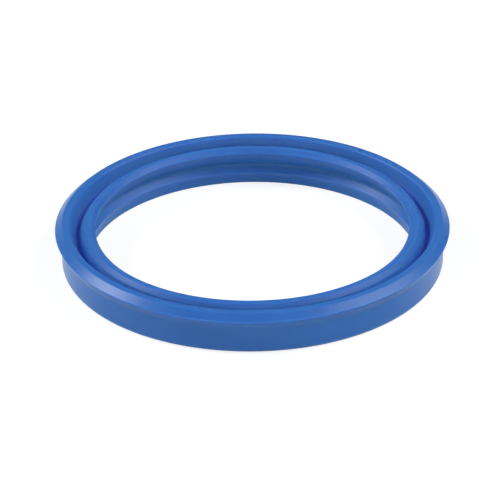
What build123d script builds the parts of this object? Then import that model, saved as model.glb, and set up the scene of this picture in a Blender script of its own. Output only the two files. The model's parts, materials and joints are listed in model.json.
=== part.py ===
from build123d import *
import math
import os

# U-cup seal for a hydraulic rod gland: one ring moulded in polyurethane.
# Units are millimetres.  The axis is Z, the flat back of the heel lies on z = 0
# and the two sealing lips open upwards, towards the pressure.
# Radii run outwards from the axis, so a section point is (radius, height).

# Gland that the seal is made for: the rod, and the gap from it to the housing
ROD_DIAMETER = 80.0
GLAND_GAP = 7.5

# Heel: the solid back of the ring, clear of both the rod and the housing
HEEL_ROD_CLEARANCE = 0.55
HEEL_HOUSING_CLEARANCE = 0.3
HEEL_EDGE_RADIUS = 1.2

# Outer lip: it flares out of the heel to an edge that presses on the housing
RING_HEIGHT = 10.9
OUTER_LIP_INTERFERENCE = 1.3
OUTER_FLARE_ANGLE = 37.0
OUTER_CHAMFER_WIDTH = 1.8
OUTER_CHAMFER_HEIGHT = 1.6
OUTER_RIM_WIDTH = 1.8
OUTER_RIM_RADIUS = 0.8

# Inner lip: a little lower, with its own edge that presses on the rod, and a
# bevel on its groove side
INNER_LIP_DROP = 0.6
INNER_LIP_INTERFERENCE = 1.3
INNER_CHAMFER_WIDTH = 1.1
INNER_CHAMFER_HEIGHT = 1.0
INNER_RIM_WIDTH = 1.3
INNER_BEVEL_WIDTH = 1.0
INNER_BEVEL_HEIGHT = 1.1

# Groove between the lips: a narrow floor with a sloping flat up to each wall
GROOVE_DEPTH = 4.0
GROOVE_FLOOR_WIDTH = 0.6
GROOVE_FLAT_WIDTH = 0.45
GROOVE_FLAT_HEIGHT = 0.45

# Support edge in the bore, and the recess that parts it from the inner lip
SUPPORT_EDGE_CLEARANCE = 0.2
SUPPORT_EDGE_HEIGHT = 3.0
SUPPORT_FLANK_HEIGHT = 1.15
RECESS_DEPTH = 1.7
RECESS_RISE = 1.7

# Radii that the gland and its clearances settle
rod = ROD_DIAMETER / 2
housing = rod + GLAND_GAP
heel_bore = rod + HEEL_ROD_CLEARANCE
heel_outside = housing - HEEL_HOUSING_CLEARANCE
outer_edge = housing + OUTER_LIP_INTERFERENCE
inner_edge = rod - INNER_LIP_INTERFERENCE
support_edge = rod + SUPPORT_EDGE_CLEARANCE

# Heights of the two rims and their sealing edges
outer_edge_height = RING_HEIGHT - OUTER_CHAMFER_HEIGHT
inner_rim_height = RING_HEIGHT - INNER_LIP_DROP
inner_edge_height = inner_rim_height - INNER_CHAMFER_HEIGHT

# Radii where each rim starts at its chamfer and ends, and where the bevel ends
outer_rim_start = outer_edge - OUTER_CHAMFER_WIDTH
outer_rim_end = outer_rim_start - OUTER_RIM_WIDTH
inner_rim_start = inner_edge + INNER_CHAMFER_WIDTH
inner_rim_end = inner_rim_start + INNER_RIM_WIDTH
inner_bevel_foot = inner_rim_end + INNER_BEVEL_WIDTH


def heel_corners():
    """The flat back, with a moulded round where it turns up the outside."""
    return [
        (heel_bore, 0, 0),
        (heel_outside, 0, HEEL_EDGE_RADIUS),
    ]


def outer_lip_corners():
    """Up the outside: wall, flare, sealing edge, chamfer and rim."""
    flare_width = outer_edge - heel_outside
    flare_height = flare_width / math.tan(math.radians(OUTER_FLARE_ANGLE))
    return [
        (heel_outside, outer_edge_height - flare_height, 0),
        (outer_edge, outer_edge_height, 0),
        (outer_rim_start, RING_HEIGHT, 0),
        (outer_rim_end, RING_HEIGHT, OUTER_RIM_RADIUS),
    ]


def groove_corners():
    """Round the bottom of the groove, midway between its two walls."""
    middle = (outer_rim_end + inner_bevel_foot) / 2
    floor = RING_HEIGHT - GROOVE_DEPTH
    floor_half = GROOVE_FLOOR_WIDTH / 2
    wall_foot = floor + GROOVE_FLAT_HEIGHT
    return [
        (middle + floor_half + GROOVE_FLAT_WIDTH, wall_foot, 0),
        (middle + floor_half, floor, 0),
        (middle - floor_half, floor, 0),
        (middle - floor_half - GROOVE_FLAT_WIDTH, wall_foot, 0),
    ]


def inner_lip_corners():
    """Bevel, rim, chamfer and the sealing edge that meets the rod."""
    return [
        (inner_bevel_foot, inner_rim_height - INNER_BEVEL_HEIGHT, 0),
        (inner_rim_end, inner_rim_height, 0),
        (inner_rim_start, inner_rim_height, 0),
        (inner_edge, inner_edge_height, 0),
    ]


def bore_corners():
    """Down the bore: recess, support edge and the flank to the heel bore."""
    flank_foot = SUPPORT_EDGE_HEIGHT - SUPPORT_FLANK_HEIGHT
    return [
        (support_edge + RECESS_DEPTH, SUPPORT_EDGE_HEIGHT + RECESS_RISE, 0),
        (support_edge, SUPPORT_EDGE_HEIGHT, 0),
        (heel_bore, flank_foot, 0),
    ]


def seal_section():
    """The closed section on the XZ plane; the third value of a corner is its round."""
    corners = heel_corners() + outer_lip_corners() + groove_corners()
    corners += inner_lip_corners() + bore_corners()
    points = [(radius, height) for radius, height, rounding in corners]
    roundings = [rounding for radius, height, rounding in corners]
    with BuildSketch(Plane.XZ) as section:
        with BuildLine():
            FilletPolyline(*points, radius=roundings, close=True)
        make_face()
    return section.sketch


def seal_ring():
    """The section turned once round the axis."""
    return revolve(seal_section(), axis=Axis.Z)


os.makedirs("parts", exist_ok=True)
export_step(seal_ring(), "parts/u_cup_ring.step")
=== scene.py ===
import json
import math

import bpy
from mathutils import Matrix, Vector


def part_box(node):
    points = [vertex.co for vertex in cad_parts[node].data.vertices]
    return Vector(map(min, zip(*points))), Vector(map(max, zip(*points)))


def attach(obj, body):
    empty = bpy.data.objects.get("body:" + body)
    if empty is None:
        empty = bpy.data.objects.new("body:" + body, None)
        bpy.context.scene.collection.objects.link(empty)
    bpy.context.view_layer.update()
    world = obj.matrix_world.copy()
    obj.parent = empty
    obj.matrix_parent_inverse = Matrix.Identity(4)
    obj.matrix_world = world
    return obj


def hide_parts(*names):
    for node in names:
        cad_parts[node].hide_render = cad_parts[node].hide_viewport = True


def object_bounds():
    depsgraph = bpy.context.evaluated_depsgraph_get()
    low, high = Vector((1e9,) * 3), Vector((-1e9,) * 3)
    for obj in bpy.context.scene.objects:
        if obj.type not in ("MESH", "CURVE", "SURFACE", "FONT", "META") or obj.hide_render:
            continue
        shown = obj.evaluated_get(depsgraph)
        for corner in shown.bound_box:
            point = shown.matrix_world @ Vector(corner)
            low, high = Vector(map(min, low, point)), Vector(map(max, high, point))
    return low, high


# The looks of a moulded polyurethane U-cup seal.  Metres, Z up, the heel rests on z = 0.
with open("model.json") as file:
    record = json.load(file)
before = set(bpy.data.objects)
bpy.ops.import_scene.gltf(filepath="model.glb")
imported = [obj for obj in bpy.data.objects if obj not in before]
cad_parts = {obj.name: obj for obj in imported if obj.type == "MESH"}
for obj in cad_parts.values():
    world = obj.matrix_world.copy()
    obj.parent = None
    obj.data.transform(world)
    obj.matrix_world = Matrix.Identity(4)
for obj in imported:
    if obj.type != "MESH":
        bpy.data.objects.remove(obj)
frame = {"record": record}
cad_lo, cad_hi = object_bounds()
MM = 0.001

# ---------------------------------------------------------------- the section of the ring
# The solid's own sizes: its box gives the reach of the outer lip, its mounts the heel.
ring_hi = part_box("u_cup_ring")[1]
mount_radius = {
    mount["name"]: mount["dims"]["r_mm"] * MM
    for mount in frame["record"]["mounts"]
    if "r_mm" in mount["dims"]
}
outer_edge = ring_hi.x
height = ring_hi.z
heel_bore = mount_radius["heel_bore"]
heel_outside = mount_radius["heel_outside"]

# Sizes of the lips and the groove.  A pair is (width, height), the flare leans out from the
# wall by its angle, and the span is from one sealing edge to the other.
OUTER_FLARE = math.radians(37.0)
OUTER_CHAMFER = (1.8 * MM, 1.6 * MM)
OUTER_RIM = 1.8 * MM
LIP_SPAN = 10.1 * MM
INNER_DROP = 0.6 * MM
INNER_CHAMFER = (1.1 * MM, 1.0 * MM)
INNER_RIM = 1.3 * MM
INNER_BEVEL = (1.0 * MM, 1.1 * MM)
GROOVE_DEPTH = 3.7 * MM
GROOVE_FLOOR = 0.5 * MM
GROOVE_OFFSET = 0.33 * MM

# Sizes of the bore: the support edge, the recess over it and the flank under it
SUPPORT_STEP = 0.35 * MM
SUPPORT_HEIGHT = 3.0 * MM
SUPPORT_FLANK = 1.15 * MM
RECESS = 1.7 * MM

# Rounds, large where the mould has them and small where an edge was trimmed
R_HEEL_IN = 0.3 * MM
R_HEEL_OUT = 1.2 * MM
R_FLARE = 3.0 * MM
R_SEALING_EDGE = 0.2 * MM
R_CHAMFER_TOP = 0.3 * MM
R_OUTER_RIM = 0.8 * MM
R_GROOVE = 0.28 * MM
R_INNER_RIM = 0.6 * MM
R_BEVEL_FOOT = 1.6 * MM
R_RECESS = 0.8 * MM
R_FLANK = 0.3 * MM

# Facets: steps round the axis, and the largest turn of one step in a round
AROUND = 320
ARC_STEP = math.radians(9.0)

# Radii and heights that those sizes settle
inner_edge = outer_edge - LIP_SPAN
outer_edge_z = height - OUTER_CHAMFER[1]
flare_foot_z = outer_edge_z - (outer_edge - heel_outside) / math.tan(OUTER_FLARE)
outer_rim_start = outer_edge - OUTER_CHAMFER[0]
outer_rim_end = outer_rim_start - OUTER_RIM
inner_rim_z = height - INNER_DROP
inner_rim_start = inner_edge + INNER_CHAMFER[0]
inner_rim_end = inner_rim_start + INNER_RIM
bevel_foot = inner_rim_end + INNER_BEVEL[0]
groove_middle = (outer_rim_end + bevel_foot) / 2 - GROOVE_OFFSET
groove_z = height - GROOVE_DEPTH
support_edge = heel_bore - SUPPORT_STEP


def section_corners():
    """(radius, height, round) of each corner, anticlockwise from the bore of the heel."""
    return [
        (heel_bore, 0.0, R_HEEL_IN),
        (heel_outside, 0.0, R_HEEL_OUT),
        (heel_outside, flare_foot_z, R_FLARE),
        (outer_edge, outer_edge_z, R_SEALING_EDGE),
        (outer_rim_start, height, R_CHAMFER_TOP),
        (outer_rim_end, height, R_OUTER_RIM),
        (groove_middle + GROOVE_FLOOR / 2, groove_z, R_GROOVE),
        (groove_middle - GROOVE_FLOOR / 2, groove_z, R_GROOVE),
        (bevel_foot, inner_rim_z - INNER_BEVEL[1], R_BEVEL_FOOT),
        (inner_rim_end, inner_rim_z, R_INNER_RIM),
        (inner_rim_start, inner_rim_z, R_CHAMFER_TOP),
        (inner_edge, inner_rim_z - INNER_CHAMFER[1], R_SEALING_EDGE),
        (support_edge + RECESS, SUPPORT_HEIGHT + RECESS, R_RECESS),
        (support_edge, SUPPORT_HEIGHT, R_SEALING_EDGE),
        (heel_bore, SUPPORT_HEIGHT - SUPPORT_FLANK, R_FLANK),
    ]


def rounded(corners):
    """Section points with their outward normals: an arc in place of each corner."""
    points = []
    count = len(corners)
    for i, (radius, z, rounding) in enumerate(corners):
        corner = Vector((radius, z))
        before = (Vector(corners[i - 1][:2]) - corner).normalized()
        after = (Vector(corners[(i + 1) % count][:2]) - corner).normalized()
        half = before.angle(after) / 2
        centre = corner + (before + after).normalized() * (rounding / math.sin(half))
        first = Vector((-before.y, before.x))
        last = Vector((after.y, -after.x))
        convex = first.dot(before + after) < 0
        side = 1.0 if convex else -1.0
        turn = math.pi - 2 * half
        steps = max(2, math.ceil(turn / ARC_STEP))
        # the normal turns evenly from the one flat's to the other's
        for k in range(steps + 1):
            t = k / steps
            a = math.sin((1 - t) * turn) / math.sin(turn)
            b = math.sin(t * turn) / math.sin(turn)
            normal = (first * a + last * b).normalized()
            points.append((centre + normal * rounding * side, normal))
    return points


def lathe(name, section):
    """A closed ring from the section, with exact normals, so flats stay flat and rounds smooth."""
    rows = len(section)
    verts, normals, faces = [], [], []
    for i in range(AROUND):
        angle = 2 * math.pi * i / AROUND
        c, s = math.cos(angle), math.sin(angle)
        for point, normal in section:
            verts.append((point.x * c, point.x * s, point.y))
            normals.append((normal.x * c, normal.x * s, normal.y))
    for i in range(AROUND):
        j = (i + 1) % AROUND
        for k in range(rows):
            m = (k + 1) % rows
            faces.append((i * rows + k, j * rows + k, j * rows + m, i * rows + m))
    mesh = bpy.data.meshes.new(name)
    mesh.from_pydata(verts, [], faces)
    mesh.validate()

    # a map of the surface: u once round the axis, v once round the section
    uv = mesh.uv_layers.new(name="around")
    along = [0.0]
    for k in range(rows):
        along.append(along[-1] + (section[(k + 1) % rows][0] - section[k][0]).length)
    for n, face in enumerate(mesh.polygons):
        i, k = divmod(n, rows)
        corners = ((i, k), (i + 1, k), (i + 1, k + 1), (i, k + 1))
        for loop, (u, v) in zip(face.loop_indices, corners):
            uv.data[loop].uv = (u / AROUND, along[v] / along[-1])

    mesh.shade_smooth()
    mesh.normals_split_custom_set_from_vertices(normals)
    obj = bpy.data.objects.new(name, mesh)
    bpy.context.collection.objects.link(obj)
    return obj


# ---------------------------------------------------------------- polyurethane
# How the material takes light; light soaks in by SOAK_DEPTH times the share of its colour
PU_IOR = 1.5
PU_SPECULAR = 0.22
SOAK_DEPTH = 4.5 * MM
SOAK_SHARES = (0.15, 0.4, 1.0)

# One blue that drifts between two shades, and painted light at the bottom of the groove: a brighter,
# stronger blue that stands in for light coming through both lips, full within the first distance of
# the groove's floor and gone at the second
BLUE_DEEP = (0.028, 0.137, 0.41, 1)
BLUE_PALE = (0.032, 0.147, 0.43, 1)
SHADE_RANGE = (0.35, 0.65)
# painted light: the brighter blue laid on the groove's floor in place of light through the lips
GROOVE_PAINTED_LIGHT = (0.09, 0.195, 0.65, 1)
PAINTED_LIGHT_REACH = (0.3 * MM, 2.0 * MM)

# Roughness, and how much less of it the outside has; the change lies between two distances
# in from the sealing edge
SATIN = (0.405, 0.455)
SATIN_NOISE = (0.6, 1.4)
OUTSIDE_CHANGE = -0.125
OUTSIDE_FADE = (3.4 * MM, 1.4 * MM)

# Noise, its scale in waves to the metre: clouds of colour, grain, and turning marks that
# change a little on their way round
CLOUD_NOISE = {"Scale": 55.0, "Detail": 3.0, "Roughness": 0.55}
GRAIN_NOISE = {"Scale": 900.0, "Detail": 2.0, "Roughness": 0.5}
MARK_NOISE = {"Scale": 4200.0, "Detail": 2.0, "Roughness": 0.6}
MARK_DRIFT = 0.004
RELIEF_STRENGTH = 0.04
GRAIN_RELIEF = 0.03 * MM
MARK_RELIEF = 0.02 * MM

# Where a Mix node keeps its factor and its two colours, and the colour that it gives
MIX_FACTOR, MIX_A, MIX_B, MIX_RESULT = 0, 6, 7, 2


class Nodes:
    """A short way to write a node tree."""

    def __init__(self, tree):
        self.tree = tree
        tree.nodes.clear()

    def add(self, kind, **values):
        """A new node; each value is a setting of it, or else a socket, with _ for a space."""
        node = self.tree.nodes.new(kind)
        for key, value in values.items():
            if isinstance(getattr(node, key, None), type(value)):
                setattr(node, key, value)
            else:
                node.inputs[key.replace("_", " ")].default_value = value
        return node

    def link(self, a, b):
        self.tree.links.new(a, b)

    def combine(self, operation, a, b):
        """One value from two, such as their sum or the larger of them."""
        node = self.add("ShaderNodeMath", operation=operation)
        self.link(a, node.inputs[0])
        self.link(b, node.inputs[1])
        return node.outputs[0]

    def remap(self, value, start, end, **settings):
        """The value moved from the range start to the range end."""
        node = self.add(
            "ShaderNodeMapRange",
            From_Min=start[0],
            From_Max=start[1],
            To_Min=end[0],
            To_Max=end[1],
            **settings,
        )
        self.link(value, node.inputs["Value"])
        return node.outputs["Result"]


def polyurethane():
    """Blue cast polyurethane: satin, a little see-through at thin lips, with fine turning marks."""
    mat = bpy.data.materials.new("polyurethane_blue")
    mat.use_nodes = True
    n = Nodes(mat.node_tree)
    out = n.add("ShaderNodeOutputMaterial")
    pu = n.add(
        "ShaderNodeBsdfPrincipled",
        IOR=PU_IOR,
        Specular_IOR_Level=PU_SPECULAR,
        Subsurface_Weight=1.0,
        Subsurface_Radius=SOAK_SHARES,
        Subsurface_Scale=SOAK_DEPTH,
    )
    n.link(pu.outputs["BSDF"], out.inputs["Surface"])

    place = n.add("ShaderNodeTexCoord").outputs["Object"]
    cloud = n.add("ShaderNodeTexNoise", **CLOUD_NOISE)
    grain = n.add("ShaderNodeTexNoise", **GRAIN_NOISE)
    for noise in (cloud, grain):
        n.link(place, noise.inputs["Vector"])

    # a point of the section: its radius and its height
    split = n.add("ShaderNodeSeparateXYZ")
    n.link(place, split.inputs[0])
    flat = n.add("ShaderNodeCombineXYZ")
    n.link(split.outputs["X"], flat.inputs["X"])
    n.link(split.outputs["Y"], flat.inputs["Y"])
    radius = n.add("ShaderNodeVectorMath", operation="LENGTH")
    n.link(flat.outputs[0], radius.inputs[0])
    section_point = n.add("ShaderNodeCombineXYZ")
    n.link(radius.outputs["Value"], section_point.inputs["X"])
    n.link(split.outputs["Z"], section_point.inputs["Z"])

    # marks that run round the axis: noise read at the point of the section
    drift = n.add("ShaderNodeVectorMath", operation="SCALE", Scale=MARK_DRIFT)
    n.link(place, drift.inputs[0])
    ringed = n.add("ShaderNodeVectorMath", operation="ADD")
    n.link(section_point.outputs[0], ringed.inputs[0])
    n.link(drift.outputs[0], ringed.inputs[1])
    marks = n.add("ShaderNodeTexNoise", **MARK_NOISE)
    n.link(ringed.outputs[0], marks.inputs["Vector"])

    # colour: the drifting blue, and painted light at the bottom of the groove, a brighter blue that
    # stands in for light coming through both lips
    tint = n.add("ShaderNodeValToRGB")
    for stop, position, shade in zip(tint.color_ramp.elements, SHADE_RANGE, (BLUE_DEEP, BLUE_PALE)):
        stop.position = position
        stop.color = shade
    n.link(cloud.outputs["Fac"], tint.inputs["Fac"])
    from_floor = n.add("ShaderNodeVectorMath", operation="DISTANCE")
    n.link(section_point.outputs[0], from_floor.inputs[0])
    from_floor.inputs[1].default_value = (groove_middle, 0.0, groove_z)
    # painted light: a mask, full at the groove's floor, for the brighter blue that stands in for
    # light through both lips
    painted_light_mask = n.remap(
        from_floor.outputs["Value"], PAINTED_LIGHT_REACH, (1.0, 0.0), interpolation_type="SMOOTHSTEP"
    )
    blue = n.add("ShaderNodeMix", data_type="RGBA")
    n.link(painted_light_mask, blue.inputs[MIX_FACTOR])
    n.link(tint.outputs["Color"], blue.inputs[MIX_A])
    blue.inputs[MIX_B].default_value = GROOVE_PAINTED_LIGHT
    n.link(blue.outputs[MIX_RESULT], pu.inputs["Base Color"])

    # gloss: satin, broken a little by the grain and the marks, and smoother on the outer lip
    broken = n.combine("ADD", grain.outputs["Fac"], marks.outputs["Fac"])
    satin = n.remap(broken, SATIN_NOISE, SATIN)
    outside = n.remap(
        radius.outputs["Value"],
        [outer_edge - inward for inward in OUTSIDE_FADE],
        (0.0, OUTSIDE_CHANGE),
        interpolation_type="SMOOTHSTEP",
    )
    n.link(n.combine("ADD", satin, outside), pu.inputs["Roughness"])

    fine = n.add("ShaderNodeBump", Strength=RELIEF_STRENGTH, Distance=GRAIN_RELIEF)
    n.link(grain.outputs["Fac"], fine.inputs["Height"])
    turned = n.add("ShaderNodeBump", Strength=RELIEF_STRENGTH, Distance=MARK_RELIEF)
    n.link(marks.outputs["Fac"], turned.inputs["Height"])
    n.link(fine.outputs["Normal"], turned.inputs["Normal"])
    n.link(turned.outputs["Normal"], pu.inputs["Normal"])
    return mat


ring = lathe("seal_ring", rounded(section_corners()))
ring.data.materials.append(polyurethane())
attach(ring, "root")
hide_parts("u_cup_ring")


# ---------------------------------------------------------------- floor
# The floor's colour in soft light, and its colour and glow where it is seen directly
WHITE = (1, 1, 1, 1)
FLOOR_PLAIN = (0.8, 0.8, 0.8, 1)
FLOOR_SEEN = (0.3, 0.3, 0.3, 1)
FLOOR_GLOW = 0.78

# Half of its width, and the hair that it lies under the heel, so the two flats never share
# a plane
FLOOR_HALF = 4.0
FLOOR_GAP = 0.02 * MM


def seen_directly(n):
    """1 for rays from the camera, from gloss and through clear parts, 0 for soft light."""
    path = n.add("ShaderNodeLightPath")
    direct = n.combine("MAXIMUM", path.outputs["Is Camera Ray"], path.outputs["Is Glossy Ray"])
    return n.combine("MAXIMUM", direct, path.outputs["Is Transmission Ray"])


def white_floor():
    """A plain white floor: the camera and reflections see it near 1, and it keeps a faint shadow."""
    mat = bpy.data.materials.new("floor_white")
    mat.use_nodes = True
    n = Nodes(mat.node_tree)
    out = n.add("ShaderNodeOutputMaterial")
    plain = n.add("ShaderNodeBsdfDiffuse", Color=FLOOR_PLAIN)
    seen = n.add("ShaderNodeBsdfDiffuse", Color=FLOOR_SEEN)
    glow = n.add("ShaderNodeEmission", Color=WHITE, Strength=FLOOR_GLOW)
    both = n.add("ShaderNodeAddShader")
    n.link(seen.outputs[0], both.inputs[0])
    n.link(glow.outputs[0], both.inputs[1])
    mix = n.add("ShaderNodeMixShader")
    n.link(seen_directly(n), mix.inputs["Fac"])
    n.link(plain.outputs[0], mix.inputs[1])
    n.link(both.outputs[0], mix.inputs[2])
    n.link(mix.outputs[0], out.inputs["Surface"])
    return mat


floor_z = cad_lo.z - FLOOR_GAP
floor_corners = [
    (x * FLOOR_HALF, y * FLOOR_HALF, floor_z) for x, y in ((-1, -1), (1, -1), (1, 1), (-1, 1))
]
floor_mesh = bpy.data.meshes.new("floor")
floor_mesh.from_pydata(floor_corners, [], [(0, 1, 2, 3)])
floor = bpy.data.objects.new("floor", floor_mesh)
bpy.context.collection.objects.link(floor)
floor_mesh.materials.append(white_floor())

# ---------------------------------------------------------------- light
# The surround's strength to the camera is 1; this is what soft light and gloss get of it
SURROUND_SOFT = 0.03
SURROUND_GLOSS = 0.16
LAMP_DISTANCE = 1.8


def studio_white():
    """A white surround: pure white to the camera, faint in gloss and fainter as soft fill."""
    world = bpy.data.worlds.new("studio")
    world.use_nodes = True
    n = Nodes(world.node_tree)
    out = n.add("ShaderNodeOutputWorld")
    surround = n.add("ShaderNodeBackground", Color=WHITE)
    path = n.add("ShaderNodeLightPath")
    fill = n.remap(path.outputs["Is Glossy Ray"], (0.0, 1.0), (SURROUND_SOFT, SURROUND_GLOSS))
    strength = n.combine("MAXIMUM", path.outputs["Is Camera Ray"], fill)
    n.link(strength, surround.inputs["Strength"])
    n.link(surround.outputs[0], out.inputs["Surface"])
    return world


def softbox(name, azimuth, elevation, spread, radiance):
    """An area light that faces the ring; angles in degrees, spread as seen from the ring."""
    wide, high = (2 * LAMP_DISTANCE * math.tan(math.radians(angle) / 2) for angle in spread)
    lamp = bpy.data.lights.new(name, "AREA")
    lamp.shape = "RECTANGLE"
    lamp.size, lamp.size_y = wide, high
    lamp.energy = radiance * math.pi * wide * high
    obj = bpy.data.objects.new(name, lamp)
    lift = Matrix.Rotation(math.radians(-elevation), 3, "Y")
    toward = Matrix.Rotation(math.radians(azimuth), 3, "Z") @ lift @ Vector((1, 0, 0))
    obj.location = toward * LAMP_DISTANCE
    obj.rotation_euler = toward.to_track_quat("Z", "Y").to_euler()
    bpy.context.collection.objects.link(obj)


bpy.context.scene.world = studio_white()
softbox("key_left", 169, 38, (20, 21), 17.0)
softbox("key_right", -3, 46, (36, 30), 6.1)
softbox("low_right", 2, 27, (46, 22), 1.0)
softbox("low_front", 262, 20, (92, 22), 1.9)
softbox("high_front", 270, 45, (90, 24), 1.0)

# ---------------------------------------------------------------- camera
# A long lens from the front, many radii of the ring away.  It is aimed a hair above and to
# the left of the middle of the heel's flat back, and held a hair off level.
ELEVATION = math.radians(28.69)
ROLL = math.radians(-0.66)
PAN, TILT = math.radians(0.039), math.radians(0.118)
RADII_AWAY = 20
LENS_MM = 283.15
SENSOR_MM = 36.0
NEAREST, FARTHEST = 0.05, 20.0

distance = RADII_AWAY * outer_edge
cam_data = bpy.data.cameras.new("camera")
cam_data.sensor_width = SENSOR_MM
cam_data.lens = LENS_MM
cam_data.clip_start, cam_data.clip_end = NEAREST, FARTHEST
camera = bpy.data.objects.new("camera", cam_data)
bpy.context.collection.objects.link(camera)
camera.location = (0, -distance * math.cos(ELEVATION), distance * math.sin(ELEVATION))
aimed = (
    Matrix.Rotation(math.pi / 2 - ELEVATION, 3, "X")
    @ Matrix.Rotation(ROLL, 3, "Z")
    @ Matrix.Rotation(PAN, 3, "Y")
    @ Matrix.Rotation(TILT, 3, "X")
)
camera.rotation_euler = aimed.to_euler()
bpy.context.scene.camera = camera
bpy.context.scene.view_settings.view_transform = "Standard"
